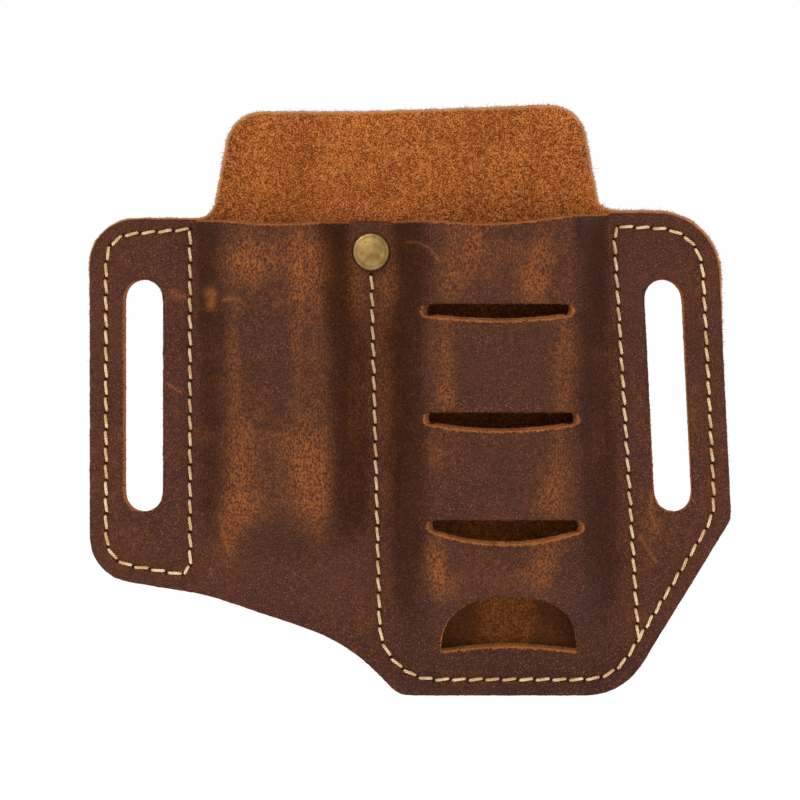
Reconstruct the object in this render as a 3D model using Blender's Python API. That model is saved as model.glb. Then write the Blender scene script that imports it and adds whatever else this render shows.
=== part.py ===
"""Leather belt pouch for hand tools, worn upright on a belt.

Two sheets of leather are sewn flesh side to flesh side. The back panel is flat and rises above
the pockets as a guard flap. The front panel is moulded into two pockets, with three finger slots
and a window over the right-hand one. Both panels share the two belt slots. One double-cap rivet
holds the top of the seam between the pockets.

The frame: X runs across the pouch, to the right as its front is seen. Y runs from front to back.
Z is up. The origin is on the back face, halfway between the belt slots, on the belt's centre line.
All sizes below are in millimetres.
"""

import math

import bmesh
import bpy
from mathutils import Vector

MM = 0.001

# Leather sheets
LEATHER = 2.2
PANEL_GAP = 0.3

# Across the pouch, from the seam between the pockets outwards
DIVIDER_X = -8.8
DIVIDER_TOE_SHIFT = 2.6
LEFT_POCKET_WIDTH = 44.3
RIGHT_POCKET_WIDTH = 59.8
RIGHT_SEAM_SPREAD = 6.4
LEFT_SLOT_WEB = 6.7
RIGHT_SLOT_WEB = 5.6
LEFT_EAR_RIM = 8.6
RIGHT_EAR_RIM = 9.3
RIGHT_EAR_LEAN = math.radians(2.8)

# Belt slots, which a belt passes through
BELT_SLOT_HEIGHT = 57.4
BELT_SLOT_WIDTH = 9.4

# Up and down the pouch
EAR_TOP_WEB = 14.6
RIGHT_EAR_EXTRA_RISE = 1.5
LEFT_EAR_BOTTOM_WEB = 15.6
RIGHT_EAR_BOTTOM_WEB = 1.6
TOE_DROP = 29.5
MOUTH_DIP = 2.6

# Guard flap: how far its foot stands in from each outer pocket seam, its rise and its lean
FLAP_IN_FROM_LEFT_SEAM = 5.2
FLAP_IN_FROM_RIGHT_SEAM = 3.1
FLAP_RISE = 26.8
FLAP_RIGHT_EXTRA_RISE = 1.9
FLAP_SIDE_LEAN = 4.8

# Corner radii of the panels
LEFT_EAR_RADIUS = 11.0
RIGHT_EAR_RADIUS = 15.3
RIGHT_HIP_RADIUS = 2.5
RIGHT_TOE_RADIUS = 16.0
LEFT_TOE_RADIUS = 5.0
SWEEP_RADIUS = 45.0
MOUTH_RADIUS = 90.0
FLAP_RADIUS = 9.0
FLAP_ROOT_RADIUS = 4.0

# Toe: the straight bottom edge, and the sweep from it up to the left ear
TOE_LEFT_OF_SEAM = 4.4
TOE_IN_FROM_RIGHT_SEAM = 4.1
SWEEP_LOW_OUT = 7.8
SWEEP_LOW_RISE = 13.0
SWEEP_HIGH_DROP = 4.7

# Pockets, moulded in the front panel
SEAM_FLAT = 1.6
LEFT_POCKET_DEPTH = 13.0
LEFT_POCKET_CROWN = 20.0
LEFT_POCKET_CLOSE_FROM = -24.0
LEFT_POCKET_CLOSE_LENGTH = 19.0
RIGHT_POCKET_DEPTH = 15.5
RIGHT_POCKET_CROWN = 32.0
RIGHT_POCKET_CLOSE_LENGTH = 26.0
MOUTH_FLARE = 1.6
MOUTH_FLARE_LENGTH = 24.0

# Finger slots over the right-hand pocket: a slot's top edge is straight and its lower lip hangs
# in an arc. Each row is the height of the top edge, the slot's width, and the lip's hang.
FINGER_SLOT_END_HEIGHT = 3.0
FINGER_SLOTS = (
    (22.0, 36.8, 1.2),
    (-4.2, 37.6, 1.6),
    (-30.2, 37.8, 2.9),
)

# Window near the foot of the right-hand pocket
WINDOW_BASE_Z = -63.0
WINDOW_WIDTH = 33.4
WINDOW_HEIGHT = 14.1
WINDOW_BASE_ARCH = 1.3
WINDOW_SQUARENESS = 2.5

# Thread, laid in a groove cut in each outer face
SEAM_MARGIN = 4.0
SEAM_TURN_RADIUS = 6.0
THREAD_RADIUS = 0.38
THREAD_CLEARANCE = 0.3
THREAD_STANDS_PROUD = 0.05
THREAD_SIDES_RESOLUTION = 1
SEAM_END_GAP = 1.5
SEAM_RISE_AT_MOUTH = 1.6

# Double-cap rivet at the top of the seam between the pockets
RIVET_BELOW_MOUTH = 8.0
RIVET_CAP_RADIUS = 4.55
RIVET_CAP_THICKNESS = 1.5
RIVET_BACK_CAP_THICKNESS = 1.0
RIVET_CAP_EDGE = 0.55
RIVET_TUBE_RADIUS = 1.75
RIVET_POST_RADIUS = 1.0
RIVET_CLEARANCE = 0.3
RIVET_SIDES = 32
RIVET_FLAT_MARGIN = 0.9
RIVET_FLAT_LENGTH = 17.0

# Fineness of the moulded surface
SLOPE_COLUMNS = 10
CROWN_COLUMNS = 4
ROW_SPACING = 4.0
CURVE_TOLERANCE = 0.06
CUTTER_MARGIN = 5.0

# Places that follow from the sizes above
LEFT_SEAM_X = DIVIDER_X - LEFT_POCKET_WIDTH
RIGHT_SEAM_X = DIVIDER_X + RIGHT_POCKET_WIDTH
MOUTH_Z = BELT_SLOT_HEIGHT / 2 + EAR_TOP_WEB
LEFT_EAR_BOTTOM_Z = -BELT_SLOT_HEIGHT / 2 - LEFT_EAR_BOTTOM_WEB
RIGHT_HIP_Z = -BELT_SLOT_HEIGHT / 2 - RIGHT_EAR_BOTTOM_WEB
BOTTOM_Z = LEFT_EAR_BOTTOM_Z - TOE_DROP
FLAP_TOP_Z = MOUTH_Z + FLAP_RISE
LEFT_SLOT_X = LEFT_SEAM_X - LEFT_SLOT_WEB - BELT_SLOT_WIDTH / 2
RIGHT_SLOT_X = RIGHT_SEAM_X + RIGHT_SEAM_SPREAD / 2 + RIGHT_SLOT_WEB + BELT_SLOT_WIDTH / 2
LEFT_EDGE_X = LEFT_SLOT_X - BELT_SLOT_WIDTH / 2 - LEFT_EAR_RIM
RIGHT_EDGE_X = RIGHT_SLOT_X + BELT_SLOT_WIDTH / 2 + RIGHT_EAR_RIM
RIVET_Z = MOUTH_Z - RIVET_BELOW_MOUTH
BACK_PANEL_FRONT_Y = -LEATHER
FRONT_PANEL_BACK_Y = BACK_PANEL_FRONT_Y - PANEL_GAP
FRONT_PANEL_FRONT_Y = FRONT_PANEL_BACK_Y - LEATHER
GROOVE_HALF_WIDTH = THREAD_RADIUS + THREAD_CLEARANCE
GROOVE_DEPTH = THREAD_RADIUS + THREAD_CLEARANCE - THREAD_STANDS_PROUD


# ---------------------------------------------------------------- outlines and seam lines


def divider_x(z):
    """The seam between the pockets, which runs a little to the right on its way down."""
    return DIVIDER_X + DIVIDER_TOE_SHIFT * (MOUTH_Z - z) / (MOUTH_Z - BOTTOM_Z)


def right_seam_x(z):
    """The right-hand pocket's outer seam, which spreads outwards on its way down."""
    return RIGHT_SEAM_X + RIGHT_SEAM_SPREAD * (MOUTH_Z - z) / (MOUTH_Z - BOTTOM_Z)


def right_ear_x(x, z):
    """X at height z on a line of the right ear that passes through (x, 0) and leans outwards."""
    return x - z * math.tan(RIGHT_EAR_LEAN)


def lower_corners():
    """The panels' corners from the right ear's top round the toe to the left ear, with radii."""
    right_top = MOUTH_Z + RIGHT_EAR_EXTRA_RISE
    return [
        (right_ear_x(RIGHT_EDGE_X, right_top), right_top, RIGHT_EAR_RADIUS),
        (right_ear_x(RIGHT_EDGE_X, RIGHT_HIP_Z), RIGHT_HIP_Z, RIGHT_HIP_RADIUS),
        (right_seam_x(BOTTOM_Z) - TOE_IN_FROM_RIGHT_SEAM, BOTTOM_Z, RIGHT_TOE_RADIUS),
        (divider_x(BOTTOM_Z) + TOE_LEFT_OF_SEAM, BOTTOM_Z, LEFT_TOE_RADIUS),
        (divider_x(BOTTOM_Z) - SWEEP_LOW_OUT, BOTTOM_Z + SWEEP_LOW_RISE, SWEEP_RADIUS),
        (LEFT_SEAM_X + SEAM_MARGIN, LEFT_EAR_BOTTOM_Z - SWEEP_HIGH_DROP, SWEEP_RADIUS),
        (LEFT_EDGE_X, LEFT_EAR_BOTTOM_Z, LEFT_EAR_RADIUS),
        (LEFT_EDGE_X, MOUTH_Z, LEFT_EAR_RADIUS),
    ]


def front_corners():
    """The front panel's top edge dips over each pocket's mouth and lifts towards the right ear."""
    right_top = MOUTH_Z + RIGHT_EAR_EXTRA_RISE
    return [
        (LEFT_SEAM_X, MOUTH_Z, SWEEP_RADIUS),
        ((LEFT_SEAM_X + DIVIDER_X) / 2, MOUTH_Z - MOUTH_DIP, MOUTH_RADIUS),
        (DIVIDER_X, MOUTH_Z, SWEEP_RADIUS),
        (DIVIDER_X + RIGHT_POCKET_WIDTH / 2, MOUTH_Z - MOUTH_DIP, MOUTH_RADIUS),
        (RIGHT_SEAM_X, right_top, SWEEP_RADIUS),
    ] + lower_corners()


def back_corners():
    """The back panel has the same ears and toe, and a guard flap above the pockets."""
    foot_left = LEFT_SEAM_X + FLAP_IN_FROM_LEFT_SEAM
    foot_right = RIGHT_SEAM_X - FLAP_IN_FROM_RIGHT_SEAM
    right_top = FLAP_TOP_Z + FLAP_RIGHT_EXTRA_RISE
    return [
        (foot_left, MOUTH_Z, FLAP_ROOT_RADIUS),
        (foot_left + FLAP_SIDE_LEAN, FLAP_TOP_Z, FLAP_RADIUS),
        (DIVIDER_X, FLAP_TOP_Z, SWEEP_RADIUS),
        (foot_right - FLAP_SIDE_LEAN, right_top, FLAP_RADIUS),
        (foot_right, MOUTH_Z + RIGHT_EAR_EXTRA_RISE, FLAP_ROOT_RADIUS),
    ] + lower_corners()


def rounded(corners, closed=True):
    """Turns corners (x, z, radius) into an outline, each corner replaced by its arc."""
    points = []
    count = len(corners)
    for i, (x, z, radius) in enumerate(corners):
        here = Vector((x, z))
        if radius <= 0 or not closed and i in (0, count - 1):
            points.append(here)
            continue
        before = (Vector(corners[i - 1][:2]) - here).normalized()
        after = (Vector(corners[(i + 1) % count][:2]) - here).normalized()
        turn = math.pi - before.angle(after)
        reach = radius * math.tan(turn / 2)
        centre = here + (before + after).normalized() * (radius / math.cos(turn / 2))
        start, end = here + before * reach - centre, here + after * reach - centre
        first = math.atan2(start.y, start.x)
        swing = math.atan2(start.x * end.y - start.y * end.x, start.dot(end))
        pieces = max(1, math.ceil(abs(swing) / (2 * math.acos(1 - CURVE_TOLERANCE / radius))))
        for k in range(pieces + 1):
            angle = first + swing * k / pieces
            points.append(centre + Vector((math.cos(angle), math.sin(angle))) * radius)
    return points


def inset(corners, margin):
    """Moves each corner of a clockwise outline inwards, so that every edge moves by margin."""
    moved = []
    count = len(corners)
    for i, (x, z, radius) in enumerate(corners):
        here = Vector((x, z))
        arriving = (here - Vector(corners[i - 1][:2])).normalized()
        leaving = (Vector(corners[(i + 1) % count][:2]) - here).normalized()
        inward = Vector((arriving.y, -arriving.x)) + Vector((leaving.y, -leaving.x))
        shift = inward * (margin / (1 + arriving.dot(leaving)))
        moved.append((x + shift.x, z + shift.y, max(radius - margin, SEAM_TURN_RADIUS)))
    return moved


def height_on_line(x, a, b):
    """The height at x of the straight line through a and b."""
    return a[1] + (b[1] - a[1]) * (x - a[0]) / (b[0] - a[0])


def left_loop_seam():
    """The closed seam round the left belt slot."""
    sweep, bottom_left, top_left = inset(front_corners(), SEAM_MARGIN)[-3:]
    top_right = (LEFT_SEAM_X, top_left[1] + SEAM_RISE_AT_MOUTH, 0)
    bottom_right = (LEFT_SEAM_X, height_on_line(LEFT_SEAM_X, bottom_left, sweep), 0)
    return rounded([top_right, bottom_right, bottom_left, top_left])


def main_seam():
    """The long seam: down between the pockets, round the toe, over the right ear and down again."""
    ear_top, hip, toe_right, toe_left = inset(front_corners(), SEAM_MARGIN)[-8:-4]
    start_z = RIVET_Z - RIVET_CAP_RADIUS - RIVET_CLEARANCE - GROOVE_HALF_WIDTH
    start = (divider_x(start_z), start_z, 0)
    turn_z = toe_left[1] + 2 * SEAM_MARGIN
    turn = (divider_x(turn_z), turn_z, SEAM_TURN_RADIUS)
    toe_start = (turn[0] + 2 * SEAM_MARGIN, toe_left[1], SEAM_TURN_RADIUS)
    top_left = (RIGHT_SEAM_X, ear_top[1] + SEAM_RISE_AT_MOUTH / 2, 0)
    end_z = BOTTOM_Z
    while height_on_line(right_seam_x(end_z), toe_right, hip) > end_z:
        end_z += CURVE_TOLERANCE
    end_z += SEAM_END_GAP + 2 * GROOVE_HALF_WIDTH
    end = (right_seam_x(end_z), end_z, 0)
    return rounded(
        [start, turn, toe_start, toe_right, hip, ear_top, top_left, end], closed=False
    )


# ---------------------------------------------------------------- the pockets' moulded form


def ease(t):
    """A smooth step from 0 at t = 0 to 1 at t = 1."""
    t = min(max(t, 0.0), 1.0)
    return t * t * (3 - 2 * t)


def divider_flat(z):
    """Half the flat strip along the seam between the pockets, which widens under the rivet."""
    widest = RIVET_CAP_RADIUS + RIVET_FLAT_MARGIN
    return SEAM_FLAT + (widest - SEAM_FLAT) * ease(1.35 - abs(z - RIVET_Z) / RIVET_FLAT_LENGTH)


def pocket_spans(z):
    """(start, end, crown width, depth) of the left and right pockets at height z."""
    flare = 1 + MOUTH_FLARE / RIGHT_POCKET_DEPTH * ease((z - MOUTH_Z) / MOUTH_FLARE_LENGTH + 1)
    left_closing = ease((z - LEFT_POCKET_CLOSE_FROM) / LEFT_POCKET_CLOSE_LENGTH + 1)
    right_floor = BOTTOM_Z + SEAM_MARGIN + SEAM_FLAT
    right_closing = ease((z - right_floor) / RIGHT_POCKET_CLOSE_LENGTH)
    flat = divider_flat(z)
    middle = divider_x(z)
    return [
        (LEFT_SEAM_X + SEAM_FLAT, middle - flat, LEFT_POCKET_CROWN,
         LEFT_POCKET_DEPTH * flare * left_closing),
        (middle + flat, right_seam_x(z) - SEAM_FLAT, RIGHT_POCKET_CROWN,
         RIGHT_POCKET_DEPTH * flare * right_closing),
    ]


def pocket_columns(start, end, crown):
    """X of the lines down a pocket: close together on its two slopes, wider over its crown."""
    slope = (end - start - crown) / 2
    rising = [start + slope * k / SLOPE_COLUMNS for k in range(SLOPE_COLUMNS + 1)]
    over = [start + slope + crown * k / CROWN_COLUMNS for k in range(1, CROWN_COLUMNS)]
    falling = [end - slope + slope * k / SLOPE_COLUMNS for k in range(SLOPE_COLUMNS + 1)]
    return rising + over + falling


def pocket_height(x, start, end, crown, depth):
    """How far the front panel stands out at x, between a pocket's start and end."""
    slope = (end - start - crown) / 2
    return depth * ease((x - start) / slope) * ease((end - x) / slope)


# ---------------------------------------------------------------- Blender helpers


def add_object(name, bm):
    """Turns a bmesh, in millimetres, into a linked object in metres."""
    bmesh.ops.recalc_face_normals(bm, faces=bm.faces)
    bmesh.ops.scale(bm, vec=(MM, MM, MM), verts=bm.verts)
    mesh = bpy.data.meshes.new(name)
    bm.to_mesh(mesh)
    bm.free()
    made = bpy.data.objects.new(name, mesh)
    bpy.context.scene.collection.objects.link(made)
    return made


def prism(name, outline, near_y, far_y):
    """A closed outline in the XZ plane, extruded along Y."""
    bm = bmesh.new()
    face = bm.faces.new([bm.verts.new((p.x, near_y, p.y)) for p in outline])
    swept = bmesh.ops.extrude_face_region(bm, geom=[face])
    moved = [v for v in swept["geom"] if isinstance(v, bmesh.types.BMVert)]
    bmesh.ops.translate(bm, verts=moved, vec=(0, far_y - near_y, 0))
    return add_object(name, bm)


def ribbon(name, path, half_width, near_y, far_y, closed):
    """A band of constant width along a path in the XZ plane, extruded along Y."""
    sides = ([], [])
    count = len(path)
    for i, here in enumerate(path):
        before = path[i - 1] if closed or i else None
        after = path[(i + 1) % count] if closed or i < count - 1 else None
        arriving = (here - before).normalized() if before else (after - here).normalized()
        leaving = (after - here).normalized() if after else arriving
        normal = Vector((arriving.y, -arriving.x)) + Vector((leaving.y, -leaving.x))
        offset = normal * (half_width / (1 + arriving.dot(leaving)))
        if not closed and i in (0, count - 1):
            here = here + (-arriving if i == 0 else arriving) * half_width
        sides[0].append(here + offset)
        sides[1].append(here - offset)
    bm = bmesh.new()
    rings = []
    for a, b in zip(*sides):
        corners = ((a, near_y), (b, near_y), (b, far_y), (a, far_y))
        rings.append([bm.verts.new((p.x, y, p.y)) for p, y in corners])
    for i in range(count if closed else count - 1):
        here, there = rings[i], rings[(i + 1) % count]
        for k in range(4):
            bm.faces.new((here[k], here[(k + 1) % 4], there[(k + 1) % 4], there[k]))
    if not closed:
        bm.faces.new(rings[0])
        bm.faces.new(rings[-1])
    return add_object(name, bm)


def turned(name, profile, x, z):
    """A profile of (radius, y) points, closed on the axis, spun round the Y axis at (x, z)."""
    bm = bmesh.new()
    points = [bm.verts.new((radius, y, 0)) for radius, y in profile]
    edges = [bm.edges.new(pair) for pair in zip(points, points[1:])]
    bmesh.ops.spin(
        bm, geom=points + edges, cent=(0, 0, 0), axis=(0, 1, 0),
        angle=2 * math.pi, steps=RIVET_SIDES, use_merge=True,
    )
    bmesh.ops.remove_doubles(bm, verts=bm.verts, dist=1e-4)
    made = add_object(name, bm)
    made.location = (x * MM, 0, z * MM)
    made.data.shade_smooth()
    made.data.set_sharp_from_angle(angle=math.radians(35))
    return made


def helper(made):
    """Marks an object as a cutter, which isn't part of the pouch."""
    made.hide_render = True
    made.display_type = "WIRE"
    return made


def cut(target, tool, operation="DIFFERENCE"):
    modifier = target.modifiers.new(tool.name, "BOOLEAN")
    modifier.operation = operation
    modifier.solver = "EXACT"
    modifier.object = helper(tool)


def material(name, colour, roughness, metallic=0.0):
    made = bpy.data.materials.new(name)
    made.use_nodes = True
    shader = made.node_tree.nodes["Principled BSDF"]
    shader.inputs["Base Color"].default_value = (*colour, 1.0)
    shader.inputs["Roughness"].default_value = roughness
    shader.inputs["Metallic"].default_value = metallic
    return made


# ---------------------------------------------------------------- cut-outs


def belt_slot_outline(x, lean):
    """A belt slot: straight sides and half-round ends, about (x, 0), leaning outwards."""
    radius = BELT_SLOT_WIDTH / 2
    reach = BELT_SLOT_HEIGHT / 2 - radius
    points = []
    for middle, first in ((reach, 0.0), (-reach, math.pi)):
        for k in range(13):
            angle = first + math.pi * k / 12
            along = Vector((radius * math.cos(angle), middle + radius * math.sin(angle)))
            points.append(along)
    return [Vector((x + p.x - p.y * math.tan(lean), p.y)) for p in points]


def right_pocket_middle(z):
    return (divider_x(z) + right_seam_x(z)) / 2


def finger_slot_outline(top_z, width, hang):
    """A finger slot: a straight top edge, half-round ends, and a lower lip that hangs in an arc."""
    radius = FINGER_SLOT_END_HEIGHT / 2
    reach = width / 2 - radius
    z = top_z - radius
    x = right_pocket_middle(z)
    points = []
    for side in (1, -1):
        for k in range(7):
            angle = side * math.pi / 2 - math.pi * k / 6
            across = side * reach + radius * math.cos(angle)
            points.append(Vector((x + across, z + radius * math.sin(angle))))
        if side == 1:
            for k in range(1, 12):
                along = 1 - k / 6
                lip = radius + hang * (1 - along * along)
                points.append(Vector((x + reach * along, z - lip)))
    return points


def window_outline():
    """The window: a low arch whose base bows up a little in the middle."""
    x = right_pocket_middle(WINDOW_BASE_Z)
    points = []
    for k in range(25):
        angle = math.pi * k / 24
        power = 2 / WINDOW_SQUARENESS
        across = math.copysign(abs(math.cos(angle)) ** power, math.cos(angle))
        up = math.sin(angle) ** power
        points.append(Vector((x + WINDOW_WIDTH / 2 * across, WINDOW_BASE_Z + WINDOW_HEIGHT * up)))
    for k in range(1, 8):
        across = -1 + k / 4
        rise = WINDOW_BASE_ARCH * (1 - across * across)
        points.append(Vector((x + WINDOW_WIDTH / 2 * across, WINDOW_BASE_Z + rise)))
    return points


def cut_shared_openings(panel, near_y, far_y):
    """The belt slots and the rivet hole, which pass through both panels."""
    slots = (("left", LEFT_SLOT_X, 0.0), ("right", RIGHT_SLOT_X, RIGHT_EAR_LEAN))
    for side, x, lean in slots:
        outline = belt_slot_outline(x, lean)
        cut(panel, prism(f"{panel.name}_{side}_belt_slot_cutter", outline, near_y, far_y))
    radius = RIVET_TUBE_RADIUS + RIVET_CLEARANCE
    profile = [(0, near_y), (radius, near_y), (radius, far_y), (0, far_y)]
    name = f"{panel.name}_rivet_hole_cutter"
    cut(panel, turned(name, profile, divider_x(RIVET_Z), RIVET_Z))


def cut_thread_grooves(panel, face_y, outward):
    """A groove for each seam's thread, cut in the panel's outer face."""
    near_y, far_y = sorted((face_y - outward * GROOVE_DEPTH, face_y + outward * CUTTER_MARGIN))
    for seam, path, closed in seams():
        name = f"{panel.name}_{seam}_groove_cutter"
        cut(panel, ribbon(name, path, GROOVE_HALF_WIDTH, near_y, far_y, closed))


def seams():
    return (("left_loop", left_loop_seam(), True), ("main_seam", main_seam(), False))


# ---------------------------------------------------------------- the pieces


def make_back_panel(leather):
    """A flat sheet with two ears, the guard flap and the toe."""
    panel = prism("back_panel", rounded(back_corners()), BACK_PANEL_FRONT_Y, 0)
    cut_shared_openings(panel, BACK_PANEL_FRONT_Y - CUTTER_MARGIN, CUTTER_MARGIN)
    cut_thread_grooves(panel, 0, 1)
    panel.data.materials.append(leather)


def make_front_panel(leather):
    """A sheet moulded into two pockets, then cut to its outline."""
    bm = bmesh.new()
    low_z, high_z = BOTTOM_Z - CUTTER_MARGIN, MOUTH_Z + RIGHT_EAR_EXTRA_RISE + CUTTER_MARGIN
    row_count = round((high_z - low_z) / ROW_SPACING)
    widest = right_ear_x(RIGHT_EDGE_X, low_z) + CUTTER_MARGIN
    middle_y = (FRONT_PANEL_BACK_Y + FRONT_PANEL_FRONT_Y) / 2
    rows = []
    for i in range(row_count + 1):
        z = low_z + (high_z - low_z) * i / row_count
        row = [(LEFT_EDGE_X - CUTTER_MARGIN, middle_y)]
        for start, end, crown, depth in pocket_spans(z):
            for x in pocket_columns(start, end, crown):
                row.append((x, middle_y - pocket_height(x, start, end, crown, depth)))
        row.append((widest, middle_y))
        rows.append([bm.verts.new((x, y, z)) for x, y in row])
    for below, above in zip(rows, rows[1:]):
        for k in range(len(below) - 1):
            bm.faces.new((below[k], below[k + 1], above[k + 1], above[k]))
    panel = add_object("front_panel", bm)
    thickness = panel.modifiers.new("sheet", "SOLIDIFY")
    thickness.thickness = LEATHER * MM
    thickness.offset = 0
    thickness.use_even_offset = True
    deepest = FRONT_PANEL_FRONT_Y - RIGHT_POCKET_DEPTH - MOUTH_FLARE - CUTTER_MARGIN
    outline = prism("front_outline", rounded(front_corners()), deepest, CUTTER_MARGIN)
    cut(panel, outline, "INTERSECT")
    cut_shared_openings(panel, deepest, CUTTER_MARGIN)
    for number, slot in enumerate(FINGER_SLOTS, 1):
        outline = finger_slot_outline(*slot)
        cut(panel, prism(f"finger_slot_{number}_cutter", outline, deepest, CUTTER_MARGIN))
    cut(panel, prism("window_cutter", window_outline(), deepest, CUTTER_MARGIN))
    cut_thread_grooves(panel, FRONT_PANEL_FRONT_Y, -1)
    panel.data.materials.append(leather)


def make_threads(thread):
    """Each seam has a needle thread on the front face and a bobbin thread on the back face."""
    faces = (("needle", FRONT_PANEL_FRONT_Y - THREAD_STANDS_PROUD), ("bobbin", THREAD_STANDS_PROUD))
    for seam, path, closed in seams():
        for side, y in faces:
            curve = bpy.data.curves.new(f"{seam}_{side}_thread", "CURVE")
            curve.dimensions = "3D"
            curve.bevel_depth = THREAD_RADIUS * MM
            curve.bevel_resolution = THREAD_SIDES_RESOLUTION
            curve.use_fill_caps = True
            spline = curve.splines.new("POLY")
            spline.points.add(len(path) - 1)
            for point, here in zip(spline.points, path):
                point.co = (here.x * MM, y * MM, here.y * MM, 1)
            spline.use_cyclic_u = closed
            made = bpy.data.objects.new(curve.name, curve)
            bpy.context.scene.collection.objects.link(made)
            made.data.materials.append(thread)


def make_rivet(brass):
    """The cap's tube passes through both panels, and the post's stem goes up inside it."""
    x = divider_x(RIVET_Z)
    radius, edge = RIVET_CAP_RADIUS, RIVET_CAP_EDGE
    cap_back = FRONT_PANEL_FRONT_Y - RIVET_CLEARANCE
    cap_front = cap_back - RIVET_CAP_THICKNESS
    post_front = RIVET_CLEARANCE
    post_back = post_front + RIVET_BACK_CAP_THICKNESS
    bore = RIVET_POST_RADIUS + RIVET_CLEARANCE
    quarter = [math.pi / 2 * k / 4 for k in range(5)]
    cap_edge = [
        (radius - edge + edge * math.sin(a), cap_front + edge * (1 - math.cos(a))) for a in quarter
    ]
    tube_end = post_front - RIVET_CLEARANCE
    cap = [(0, cap_front)] + cap_edge + [
        (radius, cap_back), (RIVET_TUBE_RADIUS, cap_back), (RIVET_TUBE_RADIUS, tube_end),
        (bore, tube_end), (bore, cap_back), (0, cap_back),
    ]
    post_edge = [
        (radius - edge + edge * math.cos(a), post_back - edge * (1 - math.sin(a))) for a in quarter
    ]
    tip = cap_back + RIVET_CLEARANCE
    post = [
        (0, tip), (RIVET_POST_RADIUS, tip), (RIVET_POST_RADIUS, post_front), (radius, post_front)
    ] + post_edge + [(0, post_back)]
    for name, profile in (("rivet_cap", cap), ("rivet_post", post)):
        turned(name, profile, x, RIVET_Z).data.materials.append(brass)


def main():
    for old in list(bpy.data.objects):
        bpy.data.objects.remove(old)
    leather = material("oiled_brown_leather", (0.072, 0.026, 0.015), 0.55)
    thread = material("waxed_thread", (0.62, 0.42, 0.22), 0.6)
    brass = material("aged_brass", (0.42, 0.31, 0.12), 0.35, metallic=1.0)
    make_back_panel(leather)
    make_front_panel(leather)
    make_threads(thread)
    make_rivet(brass)


main()
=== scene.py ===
import math

import bmesh
import bpy
import numpy as np
from mathutils import Matrix, Vector, geometry, kdtree, noise
from mathutils.bvhtree import BVHTree


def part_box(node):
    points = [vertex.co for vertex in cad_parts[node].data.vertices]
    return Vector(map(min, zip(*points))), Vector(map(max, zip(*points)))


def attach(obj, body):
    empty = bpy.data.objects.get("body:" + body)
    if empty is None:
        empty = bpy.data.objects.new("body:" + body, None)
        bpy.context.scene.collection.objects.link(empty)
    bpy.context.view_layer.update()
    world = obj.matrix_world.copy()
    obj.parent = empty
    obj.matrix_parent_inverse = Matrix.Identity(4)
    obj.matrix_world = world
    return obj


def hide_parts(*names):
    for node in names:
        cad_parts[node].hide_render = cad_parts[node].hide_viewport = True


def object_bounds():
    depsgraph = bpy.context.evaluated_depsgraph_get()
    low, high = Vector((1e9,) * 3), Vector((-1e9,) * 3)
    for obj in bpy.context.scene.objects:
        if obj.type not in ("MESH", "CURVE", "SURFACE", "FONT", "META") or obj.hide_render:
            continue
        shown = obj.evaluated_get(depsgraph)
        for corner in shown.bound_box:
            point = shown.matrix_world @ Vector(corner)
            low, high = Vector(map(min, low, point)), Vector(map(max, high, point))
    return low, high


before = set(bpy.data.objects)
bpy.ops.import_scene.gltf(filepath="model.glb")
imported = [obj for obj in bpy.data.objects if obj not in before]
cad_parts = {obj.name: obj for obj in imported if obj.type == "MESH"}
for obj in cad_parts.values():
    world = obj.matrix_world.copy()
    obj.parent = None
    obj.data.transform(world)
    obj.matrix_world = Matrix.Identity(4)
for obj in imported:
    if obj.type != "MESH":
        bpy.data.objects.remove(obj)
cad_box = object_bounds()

# Lengths are in millimetres, and become metres where a mesh, a light or the camera is made.
# X runs to the right as the front is seen, Y from the front to the back, and Z up.
MM = 0.001


# ---------------------------------------------------------------- back panel
# The panel that lies against the hip: one flat sheet of oiled cowhide with its rough flesh side to
# the front and its smooth grain to the wearer. It is die cut, so its edges show pale raw fibre,
# and it is pierced where the two seams and the rivet go through.

LEATHER = 2.2
NET = 1.0
CUT_STEP = 0.6
EDGE_ROUND = 0.4
EDGE_RINGS = (0.14, 0.42, 0.9)
WALL_RINGS = 5
STITCH = 4.1
GROOVE_DEPTH = 0.3
GROOVE_WIDTH = 0.75
HOLE_DEPTH = 1.0
HOLE_WIDTH = 0.38
HOLE_SHADE_WIDTH = 0.42
SEAM_ROWS = (0.0, 0.45, 0.95, 1.6)


def spaced(line, step):
    """The same line with its points evenly spaced, about a step apart."""
    lengths = np.concatenate(([0], np.cumsum(np.linalg.norm(np.diff(line, axis=0), axis=1))))
    wanted = np.linspace(0, lengths[-1], max(3, round(lengths[-1] / step)) + 1)
    return np.stack([np.interp(wanted, lengths, line[:, k]) for k in (0, 1)], axis=1)


def corner_line(corners, closed=False, step=0.5):
    """A line through corners, each (x, z, rounding), with its points evenly spaced."""
    line = []
    for i, (x, z, rounding) in enumerate(corners):
        here = np.array((x, z))
        if rounding == 0:
            line.append(here)
            continue
        before = np.array(corners[i - 1][:2]) - here
        after = np.array(corners[(i + 1) % len(corners)][:2]) - here
        start = here + before / np.linalg.norm(before) * rounding
        end = here + after / np.linalg.norm(after) * rounding
        for t in np.linspace(0, 1, 9):
            line.append((1 - t) ** 2 * start + 2 * t * (1 - t) * here + t * t * end)
    if closed:
        line.append(line[0])
    return spaced(np.array(line), step)


SEAMS = {
    "left_loop": corner_line(
        [(-53.1, 40.9, 0), (-53.1, -44.3, 0), (-73.8, -40.9, 6.5), (-73.8, 39.3, 6.5)], True
    ),
    "main_seam": corner_line(
        [(-8.5, 29.8, 0), (-6.4, -61.8, 5), (1.7, -69.8, 5), (51.1, -69.8, 7), (75.9, -29.3, 4),
         (72.5, 40.8, 11), (51.0, 41.6, 0), (57.1, -60.2, 0)]
    ),
}


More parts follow.
